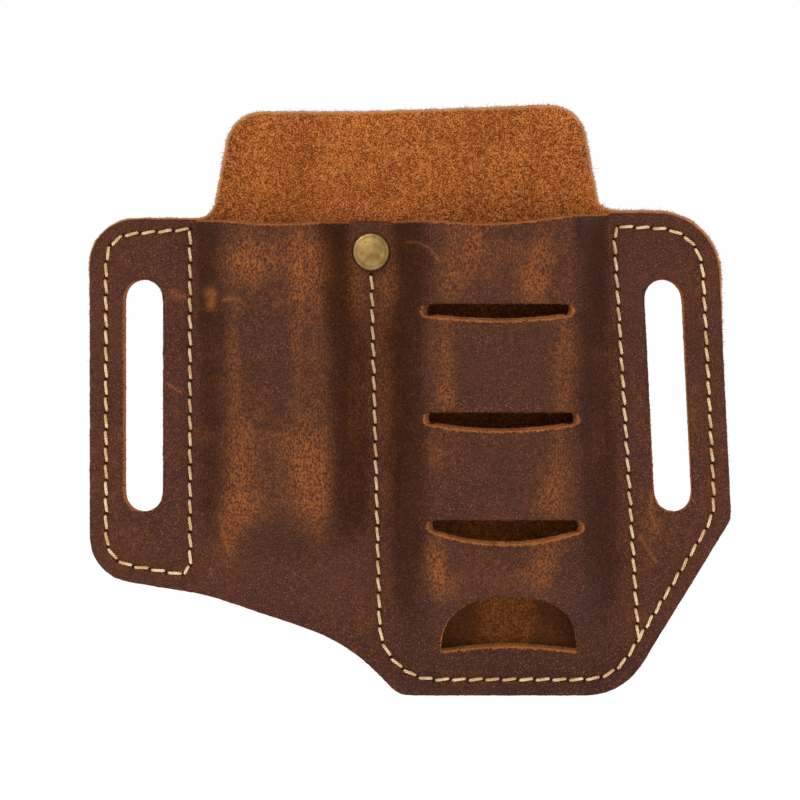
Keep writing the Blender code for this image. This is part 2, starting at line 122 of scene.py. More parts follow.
def sideways(line):
    """The direction square to a line at each of its points, to the right of its travel."""
    along = np.gradient(line, axis=0)
    along /= np.linalg.norm(along, axis=1)[:, None]
    return np.stack([along[:, 1], -along[:, 0]], axis=1)


HOLES = {name: spaced(line, STITCH) for name, line in SEAMS.items()}


def cad_surface(node, side):
    """Corners, in mm, and triangles of the face of a panel that looks along side * Y."""
    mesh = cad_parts[node].data
    mesh.calc_loop_triangles()
    places = np.array([v.co for v in mesh.vertices]) / MM
    corners, index = np.unique(np.round(places, 3), axis=0, return_inverse=True)
    triangles = index.ravel()[[list(t.vertices) for t in mesh.loop_triangles]]
    a, b, c = (corners[triangles[:, k]] for k in range(3))
    normal = np.cross(b - a, c - a)
    facing = side * normal[:, 1] / np.maximum(np.linalg.norm(normal, axis=1), 1e-12)
    return corners, triangles[facing > 0.2]


def cut_lines(corners, triangles):
    """The closed lines, in XZ, where that face ends: the outline first, then each opening."""
    directed = {(t[k], t[(k + 1) % 3]) for t in triangles.tolist() for k in range(3)}
    follow = {a: b for a, b in directed if (b, a) not in directed}
    lines = []
    while follow:
        start, here = follow.popitem()
        chain = [start]
        while here != start:
            chain.append(here)
            here = follow.pop(here)
        chain.append(start)
        line = corners[chain][:, (0, 2)]
        area = 0.5 * np.sum(line[:-1, 0] * line[1:, 1] - line[1:, 0] * line[:-1, 1])
        lines.append((abs(area), line if area > 0 else line[::-1]))
    lines.sort(key=lambda entry: -entry[0])
    return [line for area, line in lines if area > 1.0]


def knife_cut(line):
    """A cut with its points close together, eased where a knife would glide, sharp at corners."""
    cut = spaced(line, CUT_STEP)[:-1]
    for _ in range(6):
        before, after = np.roll(cut, 1, axis=0), np.roll(cut, -1, axis=0)
        turn = np.linalg.norm(before + after - 2 * cut, axis=1)
        ease = np.where(turn < 0.35 * CUT_STEP, 0.25, 0.0)[:, None]
        cut = cut + ease * (before + after - 2 * cut)
    return cut


def inside(points, cuts):
    """Which points lie within the first cut and outside all the others."""
    found = None
    for cut in cuts:
        within = np.zeros(len(points), bool)
        for (x0, z0), (x1, z1) in zip(cut, np.roll(cut, -1, axis=0)):
            if z0 != z1:
                crossing = (points[:, 1] < z0) != (points[:, 1] < z1)
                limit = x0 + (points[:, 1] - z0) * (x1 - x0) / (z1 - z0)
                within ^= crossing & (points[:, 0] < limit)
        found = within if found is None else found & ~within
    return found


def nearest(points, others):
    """For each point, the distance to the nearest of the others, and which one it is."""
    tree = kdtree.KDTree(len(others))
    for i, (x, z) in enumerate(others):
        tree.insert((x, z, 0), i)
    tree.balance()
    found = [tree.find((x, z, 0)) for x, z in points]
    return np.array([f[2] for f in found]), np.array([f[1] for f in found])


class Hide:
    """A die-cut panel as one fine net of triangles in XZ, which both of its faces share."""

    def __init__(self, cuts, marks=()):
        self.loops, points, outward = [], [], []
        for number, cut in enumerate(cuts):
            self.loops.append(len(points) + np.arange(len(cut)))
            points.extend(cut)
            turn = 1 if number == 0 else -1
            ring = np.concatenate([cut[-1:], cut, cut[:1]])
            outward.extend(sideways(ring)[1:-1] * turn)
        edge, outward = np.array(points), np.array(outward)
        rings = [edge - outward * ring for ring in EDGE_RINGS]
        low, high = edge.min(0), edge.max(0)
        net = []
        for row, z in enumerate(np.arange(low[1], high[1], NET * 0.87)):
            shift = NET / 2 * (row % 2)
            net.append([(x, z) for x in np.arange(low[0] + shift, high[0], NET)])
        seam_rows = []
        for line in SEAMS.values():
            across = sideways(line)
            for offset in SEAM_ROWS:
                seam_rows += [line + across * offset, line - across * offset]
        mark_rows = []
        for mark in marks:
            across = sideways(mark)
            mark_rows += [mark + across * offset for offset in (-0.6, -0.3, 0.0, 0.3, 0.6)]
        holes = np.concatenate(list(HOLES.values()))
        spokes = [(math.cos(a), math.sin(a)) for a in np.linspace(0, 2 * math.pi, 7)[:-1]]
        pits = [holes] + [holes + np.array(s) * HOLE_WIDTH for s in spokes]
        chosen = edge
        groups = ((pits, 0.2), (seam_rows, 0.3), (mark_rows, 0.2), (rings, 0.1), (net, 0.55))
        for group, room in groups:
            if group:
                extra = np.concatenate([np.array(g) for g in group])
                extra = extra[inside(extra, cuts)]
                clear, _ = nearest(extra, chosen)
                chosen = np.concatenate([chosen, extra[clear > room]])
        borders = [(a, b) for loop in self.loops for a, b in zip(loop, np.roll(loop, -1))]
        made = geometry.delaunay_2d_cdt([Vector(p) for p in chosen], borders, [], 0, 1e-5)
        self.points = np.array([tuple(p) for p in made[0]])
        renumber = {old: new for new, olds in enumerate(made[3]) for old in olds}
        self.loops = [np.array([renumber[i] for i in loop]) for loop in self.loops]
        triangles = np.array([list(t) for t in made[2]])
        triangles = triangles[inside(self.points[triangles].mean(1), cuts)]
        area = self.areas(triangles)
        triangles[area < 0] = triangles[area < 0][:, ::-1]
        self.triangles = triangles[np.abs(area) > 5e-7]
        self.edge_distance, at = nearest(self.points, edge)
        self.edge_outward = outward[at]
        self.edge_number = np.repeat(np.arange(len(cuts)), [len(cut) for cut in cuts])[at]
        self.seam_distance, _ = nearest(self.points, np.concatenate(list(SEAMS.values())))
        self.hole_distance, _ = nearest(self.points, holes)
        pairs = np.concatenate([self.triangles[:, (k, (k + 1) % 3)] for k in range(3)])
        self.pairs = np.unique(np.sort(pairs, axis=1), axis=0)

    def areas(self, triangles):
        a, b, c = (self.points[triangles[:, k]] for k in range(3))
        return ((b - a)[:, 0] * (c - a)[:, 1] - (b - a)[:, 1] * (c - a)[:, 0]) / 2

    def flat_size(self):
        """Width and height, then the area of the leather itself, in metres."""
        return tuple(np.ptp(self.points, axis=0) * MM), self.areas(self.triangles).sum() * MM**2

    def averaged(self, values):
        """Each point's value replaced by the mean of its neighbours'."""
        total, count = np.zeros(values.shape), np.zeros(len(values))
        for a, b in ((0, 1), (1, 0)):
            np.add.at(total, self.pairs[:, a], values[self.pairs[:, b]])
            np.add.at(count, self.pairs[:, a], 1)
        return total / (count if values.ndim == 1 else count[:, None])

    def at_height(self, y):
        return np.stack([self.points[:, 0], y, self.points[:, 1]], axis=1)

    def outward_normals(self, y):
        """The way the front face looks at each point, eased over its neighbours."""
        places = self.at_height(y)
        a, b, c = (places[self.triangles[:, k]] for k in range(3))
        faces = np.cross(b - a, c - a)
        total = np.zeros_like(places)
        for k in range(3):
            np.add.at(total, self.triangles[:, k], faces)
        total *= np.sign(-total[:, 1])[:, None]
        for _ in range(4):
            total /= np.linalg.norm(total, axis=1)[:, None]
            total = 0.5 * total + 0.5 * self.averaged(total)
        return total / np.linalg.norm(total, axis=1)[:, None]

    def edge_fall(self, rounding=EDGE_ROUND):
        """How far a face drops away at a cut edge, where the edge has been rubbed round."""
        near = np.clip(rounding - self.edge_distance, 0, rounding)
        return rounding - np.sqrt(rounding**2 - near**2)

    def groove_fall(self):
        """How far the pull of the thread has sunk the leather along a seam."""
        return GROOVE_DEPTH * np.exp(-((self.seam_distance / GROOVE_WIDTH) ** 2))

    def hole_fall(self):
        return HOLE_DEPTH * np.exp(-((self.hole_distance / HOLE_WIDTH) ** 2))

    def ripple(self, size, depth, seed):
        """A slow, uneven swell over the hide, of a size and a depth."""
        return depth * np.array([noise.noise((x / size, z / size, seed)) for x, z in self.points])

    def piece(self, name, front, back, finishes, values):
        """A closed sheet: its front face, its back face, and the raw cut that joins them."""
        count = len(self.points)
        corners = [tuple(p) for p in np.concatenate([front, back]) * MM]
        faces = [tuple(t) for t in self.triangles]
        faces += [tuple(t[::-1] + count) for t in self.triangles]
        slots = [0] * len(self.triangles) + [1] * len(self.triangles)
        sources = list(range(count)) * 2
        for loop in self.loops:
            rings = [loop]
            for ring in range(1, WALL_RINGS):
                share = ring / WALL_RINGS
                rings.append(len(corners) + np.arange(len(loop)))
                for i in loop:
                    place = front[i] * (1 - share) + back[i] * share
                    way = self.edge_outward[i] * 0.22 * noise.noise(Vector(place) * 1.6)
                    corners.append(tuple((place + np.array((way[0], 0, way[1]))) * MM))
                    sources.append(i)
            rings.append(loop + count)
            for upper, lower in zip(rings, rings[1:]):
                for k in range(len(loop)):
                    after = (k + 1) % len(loop)
                    faces.append((upper[k], lower[k], lower[after], upper[after]))
                    slots.append(2)
        mesh = bpy.data.meshes.new(name)
        mesh.from_pydata(corners, [], [tuple(int(i) for i in face) for face in faces])
        mesh.polygons.foreach_set("material_index", slots)
        bm = bmesh.new()
        bm.from_mesh(mesh)
        bmesh.ops.recalc_face_normals(bm, faces=bm.faces)
        for face in bm.faces:
            face.smooth = True
        for edge in bm.edges:
            kinds = {face.material_index for face in edge.link_faces}
            edge.smooth = len(kinds) == 1
        bm.to_mesh(mesh)
        bm.free()
        for finish in finishes:
            mesh.materials.append(finish)
        for value_name, value in values.items():
            attribute = mesh.attributes.new(value_name, "FLOAT", "POINT")
            attribute.data.foreach_set("value", value[sources].astype(np.float32))
        panel = bpy.data.objects.new(name, mesh)
        bpy.context.scene.collection.objects.link(panel)
        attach(panel, "root")
        return panel


class Finish:
    """A material under construction, whose nodes are added and joined one call at a time."""

    def __init__(self, name):
        self.material = bpy.data.materials.new(name)
        self.material.use_nodes = True
        self.tree = self.material.node_tree
        self.shader = self.tree.nodes["Principled BSDF"]
        self.place = self.add("ShaderNodeTexCoord").outputs["Object"]

    def set(self, socket, value):
        if isinstance(value, bpy.types.NodeSocket):
            self.tree.links.new(value, socket)
        else:
            socket.default_value = value

    def add(self, kind, **inputs):
        """Adds a node and sets or joins its inputs, an underscore in a name being a space."""
        made = self.tree.nodes.new(kind)
        for key, value in inputs.items():
            self.set(made.inputs[key.replace("_", " ")], value)
        return made

    def noise(self, size, detail=3.0, rough=0.55, stretch=(1, 1, 1), shift=0.0):
        """Uneven noise with features of a size, drawn out along an axis by a small stretch."""
        place = self.add("ShaderNodeMapping", Vector=self.place, Scale=stretch,
                         Location=(shift, shift, shift)).outputs["Vector"]
        made = self.add("ShaderNodeTexNoise", Vector=place, Scale=1 / (size * MM), Detail=detail,
                        Roughness=rough)
        return made.outputs["Fac"]

    def cells(self, size):
        made = self.add("ShaderNodeTexVoronoi", Vector=self.place, Scale=1 / (size * MM))
        return made.outputs["Distance"]

    def value(self, name):
        made = self.add("ShaderNodeAttribute")
        made.attribute_name = name
        return made.outputs["Fac"]

    def sum(self, operation, a, b):
        made = self.add("ShaderNodeMath")
        made.operation = operation
        self.set(made.inputs[0], a)
        self.set(made.inputs[1], b)
        return made.outputs["Value"]

    def between(self, value, low, high, start=0.0, end=1.0):
        """Start where a value is below low, end where it is above high, eased between them."""
        made = self.add("ShaderNodeMapRange", Value=value, From_Min=low, From_Max=high,
                        To_Min=start, To_Max=end)
        made.interpolation_type = "SMOOTHSTEP"
        return made.outputs["Result"]

    def blend(self, share, a, b):
        """A colour between two, each a colour or a socket."""
        made = self.add("ShaderNodeMix")
        made.data_type = "RGBA"
        self.set(made.inputs[0], share)
        self.set(made.inputs[6], a if isinstance(a, bpy.types.NodeSocket) else (*a, 1))
        self.set(made.inputs[7], b if isinstance(b, bpy.types.NodeSocket) else (*b, 1))
        return made.outputs[2]

    def done(self, colour, roughness, bumps, **settings):
        """Joins up the shader. Each bump is a height, and its depth in mm."""
        self.set(self.shader.inputs["Base Color"], colour)
        self.set(self.shader.inputs["Roughness"], roughness)
        normal = self.shader.inputs["Normal"]
        for height, depth in bumps:
            made = self.add("ShaderNodeBump", Height=height, Distance=depth * MM)
            self.tree.links.new(made.outputs["Normal"], normal)
            normal = made.inputs["Normal"]
        for key, value in settings.items():
            self.set(self.shader.inputs[key.replace("_", " ")], value)
        return self.material


GRAIN_DARK = (0.04, 0.012, 0.0072)
GRAIN_WARM = (0.076, 0.0235, 0.0125)
GRAIN_RUBBED_AND_LIT = (0.34, 0.1, 0.024)
GRAIN_SPECK = (0.38, 0.12, 0.035)
GRAIN_WAX_AND_SHADE = (0.026, 0.008, 0.0054)
FIBRE_ORANGE = (0.34, 0.108, 0.028)
FIBRE_PALE = (0.6, 0.3, 0.12)
FIBRE_DEEP = (0.12, 0.03, 0.0055)
SOIL_AND_SHADE_BROWN = (0.06, 0.019, 0.006)
HOLE_SHADE_BLACK = (0.006, 0.003, 0.002)


def grain_finish():
    """Oiled pull-up grain: dark and waxy, and lighter where it is stretched, rubbed or scratched.
    It has painted light on the divider strip and beside the belt slots, painted shade on the slopes
    and at the needle holes, and is darker towards the toe.
    """
    f = Finish("pull_up_grain")
    rub_and_light, scratch, bare_and_lit = f.value("rub_and_light"), f.value("scratch"), f.value("bare_and_lit")
    waxed, hole_shade = f.value("waxed"), f.value("hole_shade")
    cloud = f.noise(13, 4, 0.6)
    mottle = f.noise(1.5, 3, 0.65, shift=4.0)
    fine = f.noise(0.42, 2, 0.6)
    speck = f.noise(0.28, 2, 0.6, shift=8.0)
    crease = f.noise(0.55, 3, 0.65, stretch=(1.3, 1, 0.75), shift=5.0)
    tone = f.sum("ADD", f.sum("MULTIPLY", cloud, 0.2), f.sum("MULTIPLY", mottle, 0.25))
    tone = f.sum("ADD", tone, f.sum("MULTIPLY", fine, 0.55))
    colour = f.blend(f.between(tone, 0.41, 0.6), GRAIN_DARK, GRAIN_WARM)
    # Painted shade: slopes and risen leather darken here, partly for wax, and so does the toe.
    colour = f.blend(f.sum("MULTIPLY", waxed, 0.75), colour, GRAIN_WAX_AND_SHADE)
    colour = f.blend(f.between(speck, 0.57, 0.68, 0.0, 0.6), colour, GRAIN_SPECK)
    # Rub wear, with painted light on the divider strip.
    worn_and_lit = f.sum("ADD", rub_and_light, f.sum("MULTIPLY", f.sum("SUBTRACT", mottle, 0.5), 0.45))
    worn_and_lit = f.sum("MULTIPLY", f.between(worn_and_lit, 0.05, 1.05), f.between(crease, 0.42, 0.6, 0.08, 1))
    colour = f.blend(worn_and_lit, colour, GRAIN_RUBBED_AND_LIT)
    scraped = f.sum("MULTIPLY", scratch, f.between(fine, 0.4, 0.58, 0.25, 1.0))
    colour = f.blend(scraped, colour, FIBRE_ORANGE)
    # Bare raw fibre along the lips, with painted light on one side of each belt slot.
    bared = f.sum("ADD", bare_and_lit, f.sum("MULTIPLY", f.sum("SUBTRACT", fine, 0.5), 1.6))
    colour = f.blend(f.between(bared, 0.3, 0.75), colour, FIBRE_ORANGE)
    # Painted shade: the needle holes are painted nearly black.
    colour = f.blend(f.between(hole_shade, 0.3, 0.8), colour, HOLE_SHADE_BLACK)
    dry = f.sum("MAXIMUM", worn_and_lit, f.between(bare_and_lit, 0.0, 0.3))
    roughness = f.between(dry, 0.0, 1.0, 0.58, 0.92)
    pores = f.cells(0.5)
    creased = f.sum("MULTIPLY", crease, f.sum("ADD", rub_and_light, 0.25))
    bumps = [(creased, 0.6), (fine, 0.2), (pores, 0.07), (cloud, 0.6)]
    return f.done(colour, roughness, bumps, Specular_IOR_Level=0.12)


def flesh_finish():
    """The rough flesh side, with a short matted nap of two tones."""
    f = Finish("flesh_side")
    bare_and_lit = f.value("bare_and_lit")
    cloud = f.noise(12, 4, 0.6, stretch=(1.2, 1, 0.6))
    nap = f.noise(0.33, 2, 0.6)
    mat = f.noise(1.2, 3, 0.6, shift=2.0)
    tone = f.sum("ADD", f.sum("MULTIPLY", nap, 0.75), f.sum("MULTIPLY", mat, 0.25))
    colour = f.blend(f.between(cloud, 0.3, 0.7), (0.27, 0.063, 0.0095), (0.47, 0.122, 0.021))
    colour = f.blend(f.between(tone, 0.42, 0.52), FIBRE_DEEP, colour)
    colour = f.blend(f.between(tone, 0.52, 0.64, 0.0, 0.8), colour, (0.68, 0.27, 0.08))
    # Soil, and painted shade inside the pockets.
    colour = f.blend(f.value("soil_and_shade"), colour, SOIL_AND_SHADE_BROWN)
    # Pale fibre along the cut, partly painted light on the rounded edge.
    colour = f.blend(f.between(bare_and_lit, 0.1, 0.8, 0.0, 0.75), colour, FIBRE_PALE)
    bumps = [(nap, 0.4), (mat, 0.35), (cloud, 0.5)]
    return f.done(colour, 0.95, bumps, Sheen_Weight=0.08, Specular_IOR_Level=0.08)


def cut_finish():
    """The raw cut, where the hide's fibres show orange and pale between its two faces."""
    f = Finish("raw_cut")
    fibre = f.noise(0.4, 3, 0.7, stretch=(1, 1.8, 1))
    patch = f.noise(5, 3, 0.6)
    colour = f.blend(f.between(patch, 0.35, 0.65), (0.29, 0.085, 0.02), (0.42, 0.155, 0.043))
    colour = f.blend(f.between(fibre, 0.38, 0.54), (0.1, 0.027, 0.007), colour)
    colour = f.blend(f.between(fibre, 0.58, 0.7, 0.0, 0.6), colour, FIBRE_PALE)
    return f.done(colour, 0.95, [(fibre, 0.35)], Specular_IOR_Level=0.08)


GRAIN, FLESH, RAW_CUT = grain_finish(), flesh_finish(), cut_finish()


def ragged(cut, depth):
    """The same cut with the small bites and tufts that a worn die leaves."""
    corner = np.concatenate([cut[-1:], cut, cut[:1]])
    bites = [noise.noise((x / 1.1, z / 1.1, 7.0)) + noise.noise((x / 3, z / 3, 8.0))
             for x, z in cut]
    return cut + sideways(corner)[1:-1] * depth * np.array(bites)[:, None]


# The back panel was cut a little larger at the tops of both ears, so a thin rim of it shows
# there, most on the right.
RIM = 0.55
RIM_AT_RIGHT = 0.95
BACK_BARE_AND_LIT_WIDTH = 1.2


def with_rim(cut):
    corner = np.concatenate([cut[-1:], cut, cut[:1]])
    up = np.clip((cut[:, 1] - 5) / 30, 0, 1) * (cut[:, 1] < 47)
    side = np.clip((np.abs(cut[:, 0]) - 46) / 4, 0, 1)
    most = np.where(cut[:, 0] > 0, RIM_AT_RIGHT, RIM)
    return cut + sideways(corner)[1:-1] * (most * up * side)[:, None]


back_cuts = [knife_cut(line) for line in cut_lines(*cad_surface("back_panel", -1))]
back_cuts[0] = ragged(with_rim(back_cuts[0]), 0.13)
back_hide = Hide(back_cuts)
fall = back_hide.edge_fall()
swell = back_hide.ripple(34, 0.12, 4.0)
back_seam_y = -fall - back_hide.groove_fall() + swell
none = np.zeros(len(back_hide.points))


def kept_in(points, left, right, low, high, ease):
    """1 within a box on the panel, fading to 0 over an ease around it."""
    away_x = np.maximum(np.maximum(left - points[:, 0], points[:, 0] - right), 0)
    away_z = np.maximum(np.maximum(low - points[:, 1], points[:, 1] - high), 0)
    return np.exp(-((away_x / ease) ** 2) - (away_z / ease) ** 2)


# Soil from the tools, and painted shade for the pockets' depth, darken the flesh side inside
# the two pockets.
soil_and_shade = 0.55 * kept_in(back_hide.points, 6, 41, -64, 34, 5) * (0.9 + back_hide.ripple(9, 0.5, 3.0))
soil_and_shade += 0.45 * kept_in(back_hide.points, 9, 14, -61, -52, 4)
soil_and_shade += 0.45 * kept_in(back_hide.points, 34, 41, -61, -52, 4)
soil_and_shade += 0.4 * kept_in(back_hide.points, -42, -22, -40, 36, 5)
back_panel = back_hide.piece(
    "back_panel_leather",
    back_hide.at_height(fall + swell - LEATHER),
    back_hide.at_height(back_seam_y - back_hide.hole_fall()),
    (FLESH, GRAIN, RAW_CUT),
    {
        "rub_and_light": np.clip(0.3 - back_hide.edge_distance / 9, 0, 1) + back_hide.ripple(18, 0.3, 9.0),
        "scratch": none,
        "waxed": none,
        # A pale band along the back panel's cut: raw fibre, and painted light on its rounded edge.
        "bare_and_lit": np.clip(1 - back_hide.edge_distance / BACK_BARE_AND_LIT_WIDTH, 0, 1) * 0.8,
        # Painted shade at the needle holes.
        "hole_shade": np.exp(-((back_hide.hole_distance / HOLE_SHADE_WIDTH) ** 2)),
        "soil_and_shade": np.clip(soil_and_shade, 0, 0.85),
    },
)
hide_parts("back_panel")


# ---------------------------------------------------------------- front panel
# A second sheet, wetted and pressed over two tools until it kept their shape, then sewn down with
# its grain outwards. Where it was stretched over the tools' edges the oil has pulled away, and
# years of drawing tools have rubbed and scratched it.

MAP_STEP = 0.5
MAP_BLUR = 1.3
FLAT_FRONT = -2 * LEATHER - 0.3
LIP_FLARE = 0.85
LIP_REACH = 1.6
LIP_TUCK = 0.25
SEAM_HOLD = 1.6
RUB_STRENGTH = 0.9
RUB_SPREAD = 1.4
FULL_RISE = 6.0
FRONT_BARE_AND_LIT_WIDTH = 0.75
# How much darker the risen leather is, with wax and painted shade, and how much towards the toe.
RISEN_WAX_AND_SHADE = 0.28
TOE_DARKENING = 0.95
TOE_TOP = -50
TOE_EASE = 14

# Each scratch is a line of (x, z), then its width and how bare it is.
SCRATCHES = [
    (((0.5, 37.4), (3.0, 37.0), (5.8, 35.4), (7.8, 32.6)), 0.25, 0.55),
    (((-45.6, -29.0), (-44.6, -34.0), (-43.6, -39.0)), 0.4, 0.5),
    (((60.5, -24.5), (60.0, -28.5), (61.2, -32.0)), 0.35, 0.6),
    (((57.5, -34.5), (59.8, -38.5), (61.5, -41.0)), 0.35, 0.5),
    (((-58.6, 3.0), (-56.6, 1.4), (-55.4, 0.8)), 0.4, 0.6),
    (((-44.6, 23.0), (-42.5, 23.6), (-40.6, 23.2)), 0.5, 0.5),
    (((-57.5, 25.6), (-55.5, 24.0), (-53.9, 24.4)), 0.6, 0.5),
    (((-48.3, 25.2), (-47.2, 24.8), (-47.7, 22.0)), 1.15, 1.0),
]

# Each rubbed place is (x, z), its half width and half height, and how strong it is.
RUBBED_AND_LIT = [
    (-38, 32, 4, 4, 0.8), (-31, 36, 9, 5, 0.35), (-23, 31, 4, 7, 0.75), (-26.3, 15, 1.4, 20, 0.35),
    (-42, 6, 1.8, 14, 0.3), (-40, -14, 3, 7, 0.5), (-40.5, -27, 4, 6, 0.7), (-43.5, -35, 2, 4, 0.5),
    (-31, -12, 7, 5, 0.25), (-25.5, -16, 3, 8, 0.45), (-21.5, -20, 3, 11, 0.65),
    (-22, 5, 2.5, 9, 0.3), (-50, -10, 6, 2, 0.25), (-56, -14, 4, 1.5, 0.25), (-55, 24, 4, 3, 0.3),
    (9.5, 10, 2.2, 8, 0.5), (9.3, -1, 2, 3, 0.4), (8, -14, 3, 5, 0.25), (7, -40, 2.3, 6, 0.8),
    (10, -46, 3, 4, 0.4), (7.6, -57, 2, 5, 0.35), (38.5, 12, 2.5, 9, 0.5), (38, -1, 2.2, 5, 0.45),
    (36, -18, 3, 8, 0.4), (35, -26, 3, 4, 0.35), (36, -38, 3, 3, 0.3), (32.5, -41, 3, 6, 0.6),
    (27, -44, 8, 3, 0.25), (30.5, 27, 2.8, 5, 0.85), (33, 36, 2.5, 5, 0.45), (15.5, 36, 4, 6, 0.5),
    (11, 27, 2.5, 5, 0.4), (25, 36, 4, 4, 0.3), (61, -31, 3, 8, 0.3), (-4.5, 29, 3, 7, 0.3),
    # The long places at (-5, 0) and (-12, 0) lift the divider strip: rub wear, and painted light
    # where the pockets shade it.
    (-12, 28, 2, 6, 0.3), (-5, 0, 2, 28, 0.35), (-12, 0, 2, 26, 0.3), (47.5, -8, 2.5, 20, 0.15),
    (20, 30, 9, 6, 0.2),
]


def blurred(values, spread):
    """A map eased over a distance, along one axis and then the other."""
    reach = int(3 * spread)
    weights = np.exp(-0.5 * (np.arange(-reach, reach + 1) / spread) ** 2)
    weights /= weights.sum()
    for axis in (0, 1):
        padded = np.pad(values, [(reach, reach) if k == axis else (0, 0) for k in (0, 1)], "edge")
        size = values.shape[axis]
        values = sum(w * padded.take(range(k, k + size), axis) for k, w in enumerate(weights))
    return values


class PressedShape:
    """The height of the moulded panel's outside, kept as an even map that any point can ask."""

    def __init__(self, corners, triangles, low, high):
        tool = BVHTree.FromPolygons(
            [Vector(c) for c in corners], [tuple(int(i) for i in t) for t in triangles]
        )
        self.low = low
        columns, rows = np.ceil((high - low) / MAP_STEP).astype(int) + 1
        heights = np.full((columns, rows), np.nan)
        for i in range(columns):
            for k in range(rows):
                start = Vector((low[0] + i * MAP_STEP, -60.0, low[1] + k * MAP_STEP))
                hit = tool.ray_cast(start, Vector((0, 1, 0)))[0]
                if hit:
                    heights[i, k] = hit.y
        known = ~np.isnan(heights)
        spread = MAP_BLUR / MAP_STEP
        weight = blurred(known.astype(float), spread)
        total = blurred(np.where(known, heights, 0.0), spread)
        self.heights = np.where(weight > 1e-3, total / np.maximum(weight, 1e-3), FLAT_FRONT)

    def at(self, points):
        place = (points - self.low) / MAP_STEP
        cell = np.clip(place.astype(int), 0, np.array(self.heights.shape) - 2)
        u, v = (place - cell).T
        i, k = cell.T
        h = self.heights
        return ((h[i, k] * (1 - u) + h[i + 1, k] * u) * (1 - v)
                + (h[i, k + 1] * (1 - u) + h[i + 1, k + 1] * u) * v)


front_cuts = [ragged(knife_cut(line), 0.06) for line in cut_lines(*cad_surface("front_panel", 1))]
scratch_lines = [spaced(np.array(line), 0.3) for line, _, _ in SCRATCHES]
front_hide = Hide(front_cuts, scratch_lines)
points = front_hide.points
outside = cad_surface("front_panel", -1)
pressed = PressedShape(*outside, points.min(0) - 2, points.max(0) + 2)
shape_y = pressed.at(points - front_hide.edge_outward * 0.1)
held = np.exp(-((front_hide.seam_distance / SEAM_HOLD) ** 2))
shape_y = shape_y * (1 - held) + FLAT_FRONT * held

# Lips that face up stand out a little and show their raw cut, and lips that face down tuck in.
standing = FLAT_FRONT - shape_y
free = np.clip(standing / 4, 0, 1)
near_lip = np.exp(-front_hide.edge_distance / LIP_REACH)
facing_up = front_hide.edge_outward[:, 1]
lip_flare = np.where(front_hide.edge_number == 0, 0.4, 1.0) * LIP_FLARE
flare = lip_flare * np.clip(facing_up, 0, 1) ** 2 - LIP_TUCK * np.clip(-facing_up, 0, 1) ** 2
shape_y = shape_y - flare * near_lip * free
shape_y += free * front_hide.ripple(12, 0.3, 1.0) + front_hide.ripple(38, 0.12, 2.0)
shape_y = np.minimum(shape_y, FLAT_FRONT + 0.15)

out = front_hide.outward_normals(shape_y)
fall = front_hide.edge_fall()
outside_face = front_hide.at_height(shape_y)
front_seam = outside_face - out * (fall + front_hide.groove_fall())[:, None]
front_seam_y = front_seam[:, 1]
grain_face = front_seam - out * front_hide.hole_fall()[:, None]
flesh_face = outside_face - out * (LEATHER - front_hide.edge_fall(0.3))[:, None]
flesh_face[:, 1] = np.minimum(flesh_face[:, 1], -LEATHER - 0.03)

rub_and_light = 0.13 + front_hide.ripple(16, 0.2, 5.0) + front_hide.ripple(4, 0.12, 6.0)
rub_and_light = rub_and_light + 0.07 * np.clip(standing / FULL_RISE, 0, 1) * (points[:, 0] < -8)
for x, z, half_width, half_height, strength in RUBBED_AND_LIT:
    reach = ((points[:, 0] - x) / half_width) ** 2 + ((points[:, 1] - z) / half_height) ** 2
    rub_and_light = rub_and_light + RUB_STRENGTH * strength * np.exp(-reach / RUB_SPREAD)
scratch = np.zeros(len(points))
for line, (_, width, strength) in zip(scratch_lines, SCRATCHES):
    away, _ = nearest(points, line)
    scratch = np.maximum(scratch, strength * np.exp(-((away / width) ** 2)))

# The slopes and the risen leather are darker, partly with wax and partly with painted shade in
# the valleys, and the leather is darker towards the toe.
steep = np.clip((0.93 - np.abs(out[:, 1])) / 0.4, 0, 1)
risen = RISEN_WAX_AND_SHADE * np.clip(standing / FULL_RISE, 0, 1)
toe = TOE_DARKENING * np.clip((TOE_TOP - points[:, 1]) / TOE_EASE, 0, 1)
waxed = np.clip(steep + risen + toe, 0, 1)

# The cut shows bare on the lips that tools and belt rub: the mouths, the slots' lower lips and
# ends, the window's left side and base, and one side of each belt slot. On the belt slots that
# side is also painted light, standing in for the lit raw cut.
across_x = front_hide.edge_outward[:, 0]
on_outline = front_hide.edge_number == 0
at_belt = ~on_outline & (np.abs(points[:, 0]) > 54)
at_window = ~on_outline & ~at_belt & (points[:, 1] < -45)
rubbed_and_lit_side = np.where(points[:, 0] < 0, across_x, -across_x * np.tanh(points[:, 1] / 12))
bare_and_lit_lip = np.where(on_outline, 0.25 + 0.65 * (free > 0.1) * (facing_up > 0.5), 0.0)
